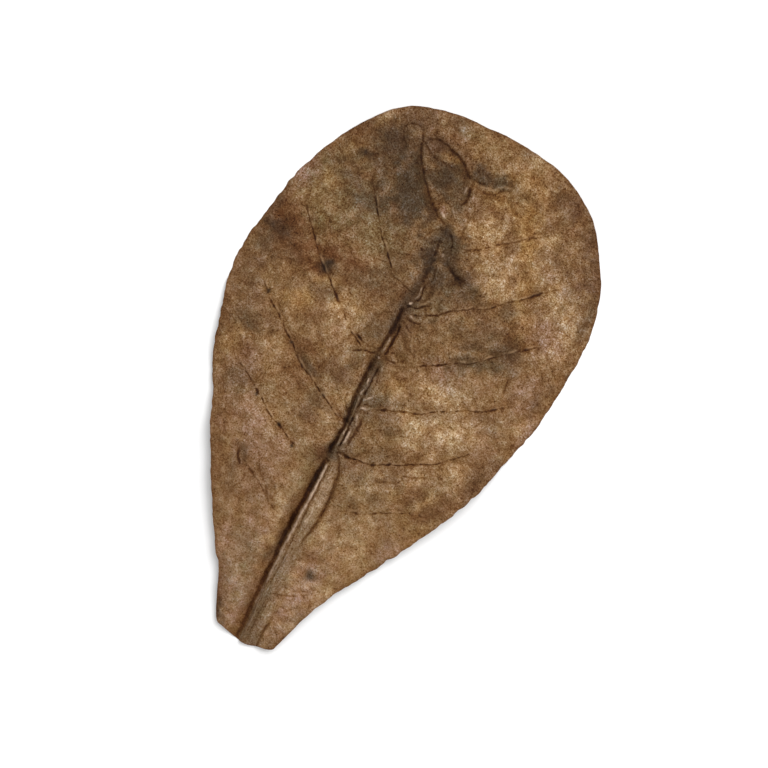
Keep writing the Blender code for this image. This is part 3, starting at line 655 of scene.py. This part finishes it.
def blade_form(x, y, margin):
    """The height of the blade's underside, before its ribs, as the CAD model has it."""
    across = np.abs(x) / HALF_WIDTH
    arch = MIDRIB_ARCH * np.sin(math.pi * np.clip(y / LEAF_LENGTH, 0, 1))
    crown = CROWN_HEIGHT * np.sin(math.pi * np.clip(across, 0, 1))
    droop = MARGIN_DROOP * across**2
    tip = TIP_LIFT * fade(165, 195, y)
    waves = sum(h * np.cos(n * bearing(x, y) - math.radians(at)) for n, h, at in MARGIN_WAVES)
    trough = TROUGH_DEPTH * midrib_size(y) * bump(from_midrib(x, y), TROUGH_WIDTH)
    quilt = QUILT_DEPTH * veins_at(x, y, QUILT_WIDTH)
    lie = BROKEN_END_LIFT + arch + crown - droop + tip
    return lie + waves * margin_share(x, y, margin) ** 4 - trough - quilt


def wrinkles(x, y):
    """Height of the dry tissue's fine swells and of the thin wrinkles that run across its side veins."""
    where = fade(-0.3, 0.6, roughly(x, y, 13.0, 22.0))
    rise = np.radians(np.where(x > 0, 20, 38))
    outward = np.abs(x) * np.cos(rise) + y * np.sin(rise)
    upward = y * np.cos(rise) - np.abs(x) * np.sin(rise)
    long_ones = bump(roughly(x, y, 12.0, 20.0), 0.05)
    rungs = bump(roughly(outward, upward / 4, 2.2, 21.0), 0.12) * fade(-0.1, 0.5, roughly(x, y, 4.0, 24.0))
    lines = where * np.maximum(long_ones, 0.8 * rungs)
    return rough_sum(x, y, SWELLS) - WRINKLE_DEPTH * lines, lines


def stain_at(x, y, stains, layer):
    """How strongly a place is stained, from 0 to 1, with ragged borders."""
    ragged = 0.3 * roughly(x, y, 4.0, layer) + 0.2 * roughly(x, y, 1.5, layer + 0.5)
    left_clean = np.ones(len(x))
    for at_x, at_y, half_x, half_y, strength, *turned in stains:
        turn = math.radians(turned[0]) if turned else 0.0
        cos, sin = math.cos(turn), math.sin(turn)
        dx, dy = x - at_x, y - at_y
        far = np.hypot((cos * dx + sin * dy) / half_x, (cos * dy - sin * dx) / half_y)
        left_clean *= 1 - strength * (1 - fade(0.2, 1.5, far + ragged))
    return 1 - left_clean


# The blade's two faces

def triangles_over(points, margin):
    """Triangles between the points, inside the margin, which is the first of them."""
    edges = [(i, (i + 1) % len(margin)) for i in range(len(margin))]
    inside_only = 1
    found = delaunay_2d_cdt([Vector(p) for p in points], edges, [], inside_only, 0.001)
    return np.array(found[0]), np.array(found[2])


def spread_points(margin, lines, step):
    """The margin, the given lines, and a staggered field of points over the rest of the blade."""
    inner = np.vstack(lines)
    inner = inner[margin_share(*inner.T, margin) < LINES_SHARE]
    inner = inner[from_margin(*inner.T, margin) > LINES_INWARD]
    _, kept = np.unique(np.round(inner / CLOSEST), axis=0, return_index=True)
    taken = np.vstack([margin, inner[np.sort(kept)]])
    tree = point_tree(taken)
    row_step = step * math.sqrt(0.75)
    columns, rows = math.ceil((HALF_WIDTH + 4) / step), math.ceil((LEAF_LENGTH + 2) / row_step)
    column, row = np.meshgrid(np.arange(-columns, columns + 1), np.arange(rows))
    field = np.column_stack([((column + 0.5 * (row % 2)) * step).ravel(), (row * row_step).ravel()])
    field = field[margin_share(*field.T, margin) < 1]
    clear = [tree.find((a, b, 0))[2] > FIELD_CLEAR * step for a, b in field]
    return np.vstack([taken, field[clear]])


def evened(values, triangles, rounds):
    """The values after each point has taken its neighbours' average that many times."""
    start = triangles[:, (0, 1, 2, 1, 2, 0)].ravel()
    end = triangles[:, (1, 2, 0, 0, 1, 2)].ravel()
    neighbours = np.bincount(start, minlength=len(values))
    for _ in range(rounds):
        values = np.bincount(start, weights=values[end], minlength=len(values)) / neighbours
    return values


def upper_face(x, y, triangles, margin):
    """Heights of the upper face and the masks that its material reads."""
    form = blade_form(x, y, margin)
    inward = from_margin(x, y, margin)
    off, size = np.abs(from_midrib(x, y)), midrib_size(y)
    vein_height, thread, crease, shade = vein_threads(x, y)
    stroke_height, dark, pale, soft = stroke_marks(x, y)
    wrinkle_height, wrinkle = wrinkles(x, y)
    open_blade = fade(*FLANK, off)
    curl = EDGE_CURL * (1 - fade(0, 2.5, inward)) * roughly(x, y, 7.0, 11.0)
    streaks = STREAK_HEIGHT * roughly(9 * x, y, 4.5, 5.0) * (1 - open_blade)
    fine = vein_height + stroke_height + wrinkle_height * (0.3 + 0.7 * open_blade) + streaks
    below = evened(fine, triangles, HOLLOW_ROUNDS) - fine
    relief = fine + midrib_crest(x, y) + curl
    thickness = EDGE_THICKNESS + (BLADE_THICKNESS - EDGE_THICKNESS) * fade(0, EDGE_TAPER, inward)
    masks = {
        # crest and thread carry painted highlights, crease and shade painted shade; hollow gives painted
        # shade in hollows and a little painted light on raised places
        "shelf": size * (1 - fade(*FLANK, np.abs(x - SHELF_SHIFT))),
        "crest": pale * (1 - open_blade),
        "thread": np.maximum(thread, pale * open_blade),
        "crease": np.maximum.reduce([0.75 * crease, dark, 0.4 * wrinkle * open_blade]),
        "shade": np.maximum(0.35 * shade, soft),
        "hollow": np.clip(below / HOLLOW_DEPTH, -0.3 - 0.7 * open_blade, 1),
        # 1 on the even tissue near the stalk, 0 on the middle and below 0 on the rougher top
        "calm": 1 - fade(45, 80, y) - 0.5 * fade(115, 140, y),
        "rim": 1 - fade(0.1, 1.1, inward),
    }
    for layer, (name, stains) in enumerate(STAINS.items()):
        masks[name] = stain_at(x, y, stains, 40.0 + layer)
    return np.maximum(0, form + relief) + thickness, masks


def lower_face(x, y, margin):
    """Heights of the lower face, where the midrib and the side veins stand out as ribs."""
    form = blade_form(x, y, margin)
    off, size = from_midrib(x, y), midrib_size(y)
    rib = RIB_DEPTH * size * bump(off, RIB_WIDTH * (0.4 + 0.6 * size))
    vein_rib = VEIN_RIB_DEPTH * veins_at(x, y, VEIN_RIB_WIDTH)
    unmarked = ("crest", "thread", "crease", "shade", "hollow", "calm", *STAINS)
    masks = {name: np.zeros(len(x)) for name in unmarked}
    masks["shelf"] = np.maximum(rib / RIB_DEPTH, vein_rib)
    masks["rim"] = 1 - fade(0.2, 1.6, from_margin(x, y, margin))
    return np.maximum(0, form - np.maximum(rib, vein_rib)), masks


def below_upper(lower, below, upper, above):
    """The lower face's heights, brought down to stay below the grooves of the upper face."""
    tree = point_tree(above)
    reach = 1.2 * LOWER_STEP
    lowest = [min(upper[i] for _, i, _ in tree.find_range((x, y, 0), reach)) for x, y in below]
    return np.maximum(0, np.minimum(lower, np.array(lowest) - EDGE_THICKNESS))


def build_leaf():
    """The upper and lower faces are meshed apart and joined along the margin they share."""
    margin = leaf_outline()
    midrib = smooth_line([knot for knot in MIDRIB_PATH if knot[1] < MIDRIB_TOP], LINE_STEP)
    lines = [vein_line(vein, aside) for vein in SIDE_VEINS for aside in VEIN_LINES]
    for _, width, _, knots, *_ in STROKES:
        stroke = smooth_line(knots, LINE_STEP)
        lines += [beside(stroke, aside * width) for aside in STROKE_LINES]
    coarse = [midrib + (aside, 0) for aside in LOWER_LINES]
    coarse += [vein_line(vein, aside) for vein in SIDE_VEINS for aside in LOWER_LINES]

    above, upper_triangles = triangles_over(spread_points(margin, lines, UPPER_STEP), margin)
    below, lower_triangles = triangles_over(spread_points(margin, coarse, LOWER_STEP), margin)
    upper, upper_masks = upper_face(*above.T, upper_triangles, margin)
    lower, lower_masks = lower_face(*below.T, margin)
    lower = below_upper(lower, below, upper, above)

    middle = (margin.min(axis=0) + margin.max(axis=0)) / 2
    tops = np.column_stack([above - middle, upper])
    bottoms = np.column_stack([below - middle, lower])
    shift, around = len(tops), len(margin)
    rim = [(i, shift + i, shift + (i + 1) % around, (i + 1) % around) for i in range(around)]
    faces = upper_triangles.tolist() + (shift + lower_triangles[:, ::-1]).tolist() + rim
    mesh = bpy.data.meshes.new("leaf_blade")
    mesh.from_pydata(np.vstack([tops, bottoms]) * MM, [], faces)
    for name in upper_masks:
        layer = mesh.attributes.new(name, "FLOAT", "POINT")
        layer.data.foreach_set("value", np.r_[upper_masks[name], lower_masks[name]])
    mesh.shade_smooth()
    leaf = bpy.data.objects.new("leaf_blade", mesh)
    bpy.context.scene.collection.objects.link(leaf)
    bpy.ops.object.select_all(action="DESELECT")
    bpy.context.view_layer.objects.active = leaf
    leaf.select_set(True)
    bpy.ops.object.mode_set(mode="EDIT")
    bpy.ops.mesh.select_all(action="SELECT")
    bpy.ops.mesh.normals_make_consistent(inside=False)
    bpy.ops.object.mode_set(mode="OBJECT")
    bpy.ops.object.shade_smooth_by_angle(angle=math.radians(60))
    print("leaf_blade", sum(len(face.vertices) - 2 for face in mesh.polygons), "triangles")
    return leaf


# Materials

def srgb(red, green, blue):
    """A colour as it looks on screen, from 0 to 255, as the shader needs it."""
    shares = [value / 255 for value in (red, green, blue)]
    linear = [s / 12.92 if s < 0.04045 else ((s + 0.055) / 1.055) ** 2.4 for s in shares]
    return (*linear, 1.0)


DRY_BROWN = srgb(110, 78, 45)
TONES = {
    "cream": srgb(162, 127, 85),
    "rosy": srgb(124, 91, 67),
    "olive": srgb(99, 78, 45),
    "mauve": srgb(82, 55, 32),
    "ochre": srgb(128, 91, 48),
    "red": srgb(83, 49, 21),
    "grey": srgb(70, 52, 31),
    "dark": srgb(46, 30, 16),
}
# painted highlight along the side veins' threads and on ridges out on the blade
THREAD_HIGHLIGHT = srgb(164, 132, 98)
# painted highlight on the midrib's crest and the ridges beside it
CREST_HIGHLIGHT = srgb(186, 160, 138)
RIB_GREY = srgb(97, 78, 56)

# Uneven shades: size in millimetres, noise layer, detail and evenness
MOTTLES = {
    "clouds": (9.0, 0.0, 6.0, 0.95),
    "warmth": (5.0, 11.0, 4.0, 0.75),
    "blush": (4.5, 17.0, 4.0, 0.75),
    "flecks": (1.6, 7.0, 3.0, 0.8),
    "pits": (0.9, 23.0, 2.0, 0.6),
}
STRAND_WIDTH, STRAND_LENGTH = 0.45, 7.0

# How strong each is on plain tissue, and how much that changes where the tissue is calm
CALMING = {"clouds": (1.0, -0.7), "flecks": (0.5, -0.25), "grain": (1.5, -0.3)}

# Shade is counted in stops. For each channel: how far a stop of shade, warmth or blush moves it. Shade
# moves red least and blue most, so dark places are warmer than pale ones.
FALLS = {"Red": (0.72, 0.07, 0.07), "Green": (1.02, 0.0, -0.02), "Blue": (1.55, -0.15, 0.09)}
EVEN_LIGHT = 0.31
CLOUD_DARKS, CLOUD_PALES = 1.25, 0.85
FINE_DARKS, FINE_PALES = 1.3, 0.75
PIT_SHADE, NET_SHADE = -1.0, 0.3
# The hollow, soft and crease shades are painted shade; the strands are the midrib's own streaks.
STRAND_SHADE, HOLLOW_SHADE, SOFT_SHADE, CREASE_SHADE = 0.7, -0.4, -1.6, -2.8

MATT, GLOSSY = 0.72, 0.38
RELIEF = 0.22 * MM


def node(tree, kind, inputs=None, **properties):
    """A new node with its properties set, and its inputs set or linked by name."""
    made = tree.nodes.new(kind)
    for name, value in properties.items():
        setattr(made, name, value)
    for name, value in (inputs or {}).items():
        if isinstance(value, bpy.types.NodeSocket):
            tree.links.new(value, made.inputs[name])
        else:
            made.inputs[name].default_value = value
    return made


def calc(tree, operation, a, b=0.0, c=0.0):
    return node(tree, "ShaderNodeMath", {0: a, 1: b, 2: c}, operation=operation).outputs[0]


def summed(tree, total, parts):
    """The total with each part's value added to it, times the part's share."""
    for value, share in parts:
        total = calc(tree, "MULTIPLY_ADD", value, share, total)
    return total


def uneven(tree, value, darks, pales):
    """A value round 0 whose dark side, below 0, is scaled up by more than its pale side."""
    return calc(tree, "MINIMUM", calc(tree, "MULTIPLY", value, darks), calc(tree, "MULTIPLY", value, pales))


def centred(tree, cloud):
    """A noise from 0 to 1 stretched to run from about -1 to 1."""
    return calc(tree, "MULTIPLY_ADD", cloud, 4.0, -2.0)


def blend(tree, share, a, b, way="MIX"):
    made = node(tree, "ShaderNodeMix", {0: share, 6: a, 7: b}, data_type="RGBA", blend_type=way)
    return made.outputs[2]


def ramp(tree, value, low, high, to_low=0.0, to_high=1.0):
    """The value stretched so that low and high come out as to_low and to_high."""
    inputs = {"Value": value, 1: low, 2: high, 3: to_low, 4: to_high}
    return node(tree, "ShaderNodeMapRange", inputs, interpolation_type="SMOOTHSTEP").outputs[0]


def new_group(name, inputs, outputs):
    """An empty shader node group with named number inputs and outputs."""
    tree = bpy.data.node_groups.new(name, "ShaderNodeTree")
    for label, value in inputs.items():
        socket = tree.interface.new_socket(label, in_out="INPUT", socket_type="NodeSocketFloat")
        socket.default_value = value
    for label in outputs:
        tree.interface.new_socket(label, in_out="OUTPUT", socket_type="NodeSocketFloat")
    return tree, node(tree, "NodeGroupInput").outputs, node(tree, "NodeGroupOutput").inputs


def grouped(tree, group, inputs):
    """A node group placed in the tree with its own values."""
    made = tree.nodes.new("ShaderNodeGroup")
    made.node_tree = group
    for name, value in inputs.items():
        made.inputs[name].default_value = value
    return made.outputs


def in_millimetres(tree):
    place = node(tree, "ShaderNodeTexCoord").outputs["Object"]
    return node(tree, "ShaderNodeVectorMath", {0: place, "Scale": 1 / MM}, operation="SCALE").outputs[0]


def mottle_group():
    """Uneven shade: values round 0 that change over the given size and over finer ones."""
    sizes = {"Size": 10.0, "Layer": 0.0, "Detail": 4.0, "Evenness": 0.8}
    tree, inputs, outputs = new_group("leaf_mottle", sizes, ["Value"])
    scale = calc(tree, "DIVIDE", 1.0, inputs["Size"])
    settings = {"Vector": in_millimetres(tree), "W": inputs["Layer"], "Scale": scale,
                "Detail": inputs["Detail"], "Roughness": inputs["Evenness"], "Distortion": 0.3}
    cloud = node(tree, "ShaderNodeTexNoise", settings, noise_dimensions="4D").outputs["Fac"]
    tree.links.new(centred(tree, cloud), outputs["Value"])
    return tree


def net_group():
    """The net of finest veins: 1 on its lines, which run round cells of that size in millimetres."""
    tree, inputs, outputs = new_group("leaf_net", {"Size": 1.0, "Width": 0.1}, ["Line"])
    place = in_millimetres(tree)
    scale = calc(tree, "DIVIDE", 1.0, inputs["Size"])
    bend = node(tree, "ShaderNodeTexNoise", {"Vector": place, "Scale": scale, "Detail": 2.0})
    moved = node(tree, "ShaderNodeVectorMath", {0: bend.outputs["Color"], 1: place}, operation="ADD")
    settings = {"Vector": moved.outputs[0], "Scale": scale}
    cells = node(tree, "ShaderNodeTexVoronoi", settings, feature="DISTANCE_TO_EDGE")
    line = ramp(tree, cells.outputs["Distance"], 0.0, inputs["Width"], 1.0, 0.0)
    tree.links.new(line, outputs["Line"])
    return tree


def grain_group():
    """The dry tissue's fine grain: uneven shade round 0, and the height of its pits and fibres."""
    tree, inputs, outputs = new_group("leaf_grain", {"Size": 0.8}, ["Value", "Height"])
    place = in_millimetres(tree)
    scale = calc(tree, "DIVIDE", 1.0, inputs["Size"])
    settings = {"Vector": place, "Scale": scale, "Detail": 2.0, "Roughness": 0.8}
    fine = node(tree, "ShaderNodeTexNoise", settings)
    coarse_scale = calc(tree, "MULTIPLY", scale, 0.35)
    coarse = node(tree, "ShaderNodeTexNoise", {"Vector": place, "Scale": coarse_scale, "Detail": 2.0})
    cells = node(tree, "ShaderNodeTexVoronoi", {"Vector": place, "Scale": scale, "Randomness": 1.0})
    pits = ramp(tree, cells.outputs["Distance"], 0.1, 0.36, 1.0, 0.0)
    pitted = ramp(tree, coarse.outputs["Fac"], 0.48, 0.66)
    dark = calc(tree, "MULTIPLY", pits, pitted)
    tree.links.new(calc(tree, "SUBTRACT", centred(tree, fine.outputs["Fac"]), dark), outputs["Value"])
    tree.links.new(calc(tree, "SUBTRACT", fine.outputs["Fac"], dark), outputs["Height"])
    return tree


MOTTLE, NET, GRAIN = mottle_group(), net_group(), grain_group()


def mask(tree, name):
    return node(tree, "ShaderNodeAttribute", attribute_name=name).outputs["Fac"]


def strands_along(tree):
    """Uneven shade round 0, in fine strands along the midrib."""
    scale = (1 / STRAND_WIDTH, 1 / STRAND_LENGTH, 1)
    drawn_out = node(tree, "ShaderNodeMapping", {"Vector": in_millimetres(tree), "Scale": scale})
    settings = {"Vector": drawn_out.outputs[0], "Scale": 1.0, "Detail": 2.0}
    return centred(tree, node(tree, "ShaderNodeTexNoise", settings).outputs["Fac"])


def stained(tree, flecks):
    """The dry brown with every stain and the midrib's grey flanks over it."""
    colour = DRY_BROWN
    patchy = calc(tree, "MULTIPLY_ADD", flecks, 0.3, 1.1)
    for name, tone in TONES.items():
        share = calc(tree, "MULTIPLY", mask(tree, name), patchy)
        colour = blend(tree, node(tree, "ShaderNodeClamp", {"Value": share}).outputs[0], colour, tone)
    return blend(tree, calc(tree, "MULTIPLY", mask(tree, "shelf"), 0.5), colour, RIB_GREY)


def shaded(tree, colour, stops, warmth, blush):
    """The colour, lighter or darker by that many stops, and tinted by the warmth and the blush."""
    shares = {}
    for name, (fall, warm, rosy) in FALLS.items():
        total = summed(tree, calc(tree, "MULTIPLY", stops, fall), [(warmth, warm), (blush, rosy)])
        shares[name] = calc(tree, "POWER", 2.0, total)
    return blend(tree, 1.0, colour, node(tree, "ShaderNodeCombineColor", shares).outputs[0], "MULTIPLY")


def dry_leaf():
    """Mottled dry tissue: cloudy browns, stains, a pale vein net and fine grain, with painted shade in its
    creases and hollows and painted highlights on its ridges.
    """
    material = bpy.data.materials.new("dry_leaf")
    material.use_nodes = True
    tree = material.node_tree
    shader = tree.nodes["Principled BSDF"]

    labels = ("Size", "Layer", "Detail", "Evenness")
    clouds, warmth, blush, flecks, pits = (
        grouped(tree, MOTTLE, dict(zip(labels, look)))["Value"] for look in MOTTLES.values()
    )
    net = grouped(tree, NET, {"Size": 1.1, "Width": 0.2})["Line"]
    grain = grouped(tree, GRAIN, {"Size": 0.55})
    cloudy, flecked, grainy = (
        calc(tree, "MULTIPLY_ADD", mask(tree, "calm"), change, share) for share, change in CALMING.values()
    )

    pitted = calc(tree, "MULTIPLY", ramp(tree, pits, 0.25, 0.8), ramp(tree, warmth, -0.5, 0.4))
    parts = [(flecks, flecked), (pitted, PIT_SHADE), (net, NET_SHADE)]
    fine = summed(tree, calc(tree, "MULTIPLY", grain["Value"], grainy), parts)
    fine = uneven(tree, fine, FINE_DARKS, FINE_PALES)
    lined = calc(tree, "MULTIPLY_ADD", flecks, 0.4, 1.0)
    crease = ramp(tree, calc(tree, "MULTIPLY", mask(tree, "crease"), lined), 0.1, 0.9)
    # The hollow, soft shade and crease masks darken it as painted shade, and raised places get a little
    # painted light.
    stops = summed(tree, calc(tree, "ADD", fine, EVEN_LIGHT), [
        (uneven(tree, clouds, CLOUD_DARKS, CLOUD_PALES), cloudy),
        (calc(tree, "MULTIPLY", strands_along(tree), mask(tree, "shelf")), STRAND_SHADE),
        (mask(tree, "hollow"), HOLLOW_SHADE),
        (mask(tree, "shade"), SOFT_SHADE),
        (crease, CREASE_SHADE),
    ])

    colour = shaded(tree, stained(tree, flecks), stops, warmth, blush)
    # Painted highlight along the side veins' threads and the pale strokes out on the blade
    colour = blend(tree, calc(tree, "MULTIPLY", mask(tree, "thread"), 0.45), colour, THREAD_HIGHLIGHT)
    # Painted highlights on the midrib's crest and the ridges beside it
    crest = calc(tree, "MULTIPLY", mask(tree, "crest"), lined)
    colour = blend(tree, ramp(tree, crest, 0.1, 0.8, 0.0, 0.85), colour, CREST_HIGHLIGHT)
    colour = blend(tree, calc(tree, "MULTIPLY", mask(tree, "rim"), 0.5), colour, TONES["red"])
    tree.links.new(colour, shader.inputs["Base Color"])

    gloss = calc(tree, "MAXIMUM", mask(tree, "crest"), calc(tree, "MULTIPLY", mask(tree, "shelf"), 0.5))
    tree.links.new(ramp(tree, gloss, 0.0, 1.0, MATT, GLOSSY), shader.inputs["Roughness"])
    shader.inputs["Specular IOR Level"].default_value = 0.12

    height = summed(tree, grain["Height"], [(net, 0.35), (flecks, 0.5)])
    settings = {"Height": height, "Strength": 0.9, "Distance": RELIEF}
    tree.links.new(node(tree, "ShaderNodeBump", settings).outputs["Normal"], shader.inputs["Normal"])
    return material


def pale_floor():
    material = bpy.data.materials.new("pale_floor")
    material.use_nodes = True
    shader = material.node_tree.nodes["Principled BSDF"]
    shader.inputs["Base Color"].default_value = (0.9, 0.9, 0.9, 1.0)
    shader.inputs["Roughness"].default_value = 0.9
    shader.inputs["Specular IOR Level"].default_value = 0.1
    return material


# Floor, light and camera

FLOOR_SIZE = 16.0
PICTURE_CENTRE = (4.7, 97.6)
PICTURE_WIDTH = 256.0
LEAN = 26.0
LENS, SENSOR = 100.0, 36.0
MEAN_HEIGHT = 5.0
LIGHT_FROM = (0.33, 0.95)
LIGHT_HEIGHT = 56.0
LIGHT_DISTANCE = 1.5
LIGHT_SIZE = 1.1
LIGHT_POWER = 18.0
AMBIENT = 0.8


def set_stage():
    bpy.ops.object.select_all(action="DESELECT")
    bpy.ops.mesh.primitive_plane_add(size=FLOOR_SIZE, location=(0, 0, 0))
    floor = bpy.context.object
    floor.name = floor.data.name = "floor"
    floor.data.materials.append(pale_floor())

    world = bpy.data.worlds.new("studio")
    world.use_nodes = True
    world.node_tree.nodes["Background"].inputs["Color"].default_value = (1.0, 1.0, 1.0, 1.0)
    world.node_tree.nodes["Background"].inputs["Strength"].default_value = AMBIENT
    bpy.context.scene.world = world

    across, up = math.cos(math.radians(LIGHT_HEIGHT)), math.sin(math.radians(LIGHT_HEIGHT))
    way = Vector((LIGHT_FROM[0] * across, LIGHT_FROM[1] * across, up)).normalized()
    bpy.ops.object.light_add(type="AREA", location=way * LIGHT_DISTANCE)
    lamp = bpy.context.object
    lamp.name = "key_light"
    lamp.rotation_euler = way.to_track_quat("Z", "Y").to_euler()
    lamp.data.size = LIGHT_SIZE
    lamp.data.energy = LIGHT_POWER


def set_camera(middle):
    centre = (Vector(PICTURE_CENTRE) - Vector(middle)) * MM
    distance = PICTURE_WIDTH / SENSOR * LENS + MEAN_HEIGHT
    bpy.ops.object.camera_add(location=(*centre, distance * MM), rotation=(0, 0, math.radians(LEAN)))
    camera = bpy.context.object
    camera.name = "camera"
    camera.data.lens = LENS
    camera.data.sensor_width = SENSOR
    camera.data.clip_start = 0.01
    bpy.context.scene.camera = camera
    bpy.context.scene.view_settings.view_transform = "Standard"


leaf = build_leaf()
leaf.data.materials.append(dry_leaf())
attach(leaf, "root")
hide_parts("leaf")

set_stage()
plain_margin = smooth_line(MARGIN, MARGIN_STEP, closed=True)
set_camera((plain_margin.min(axis=0) + plain_margin.max(axis=0)) / 2)
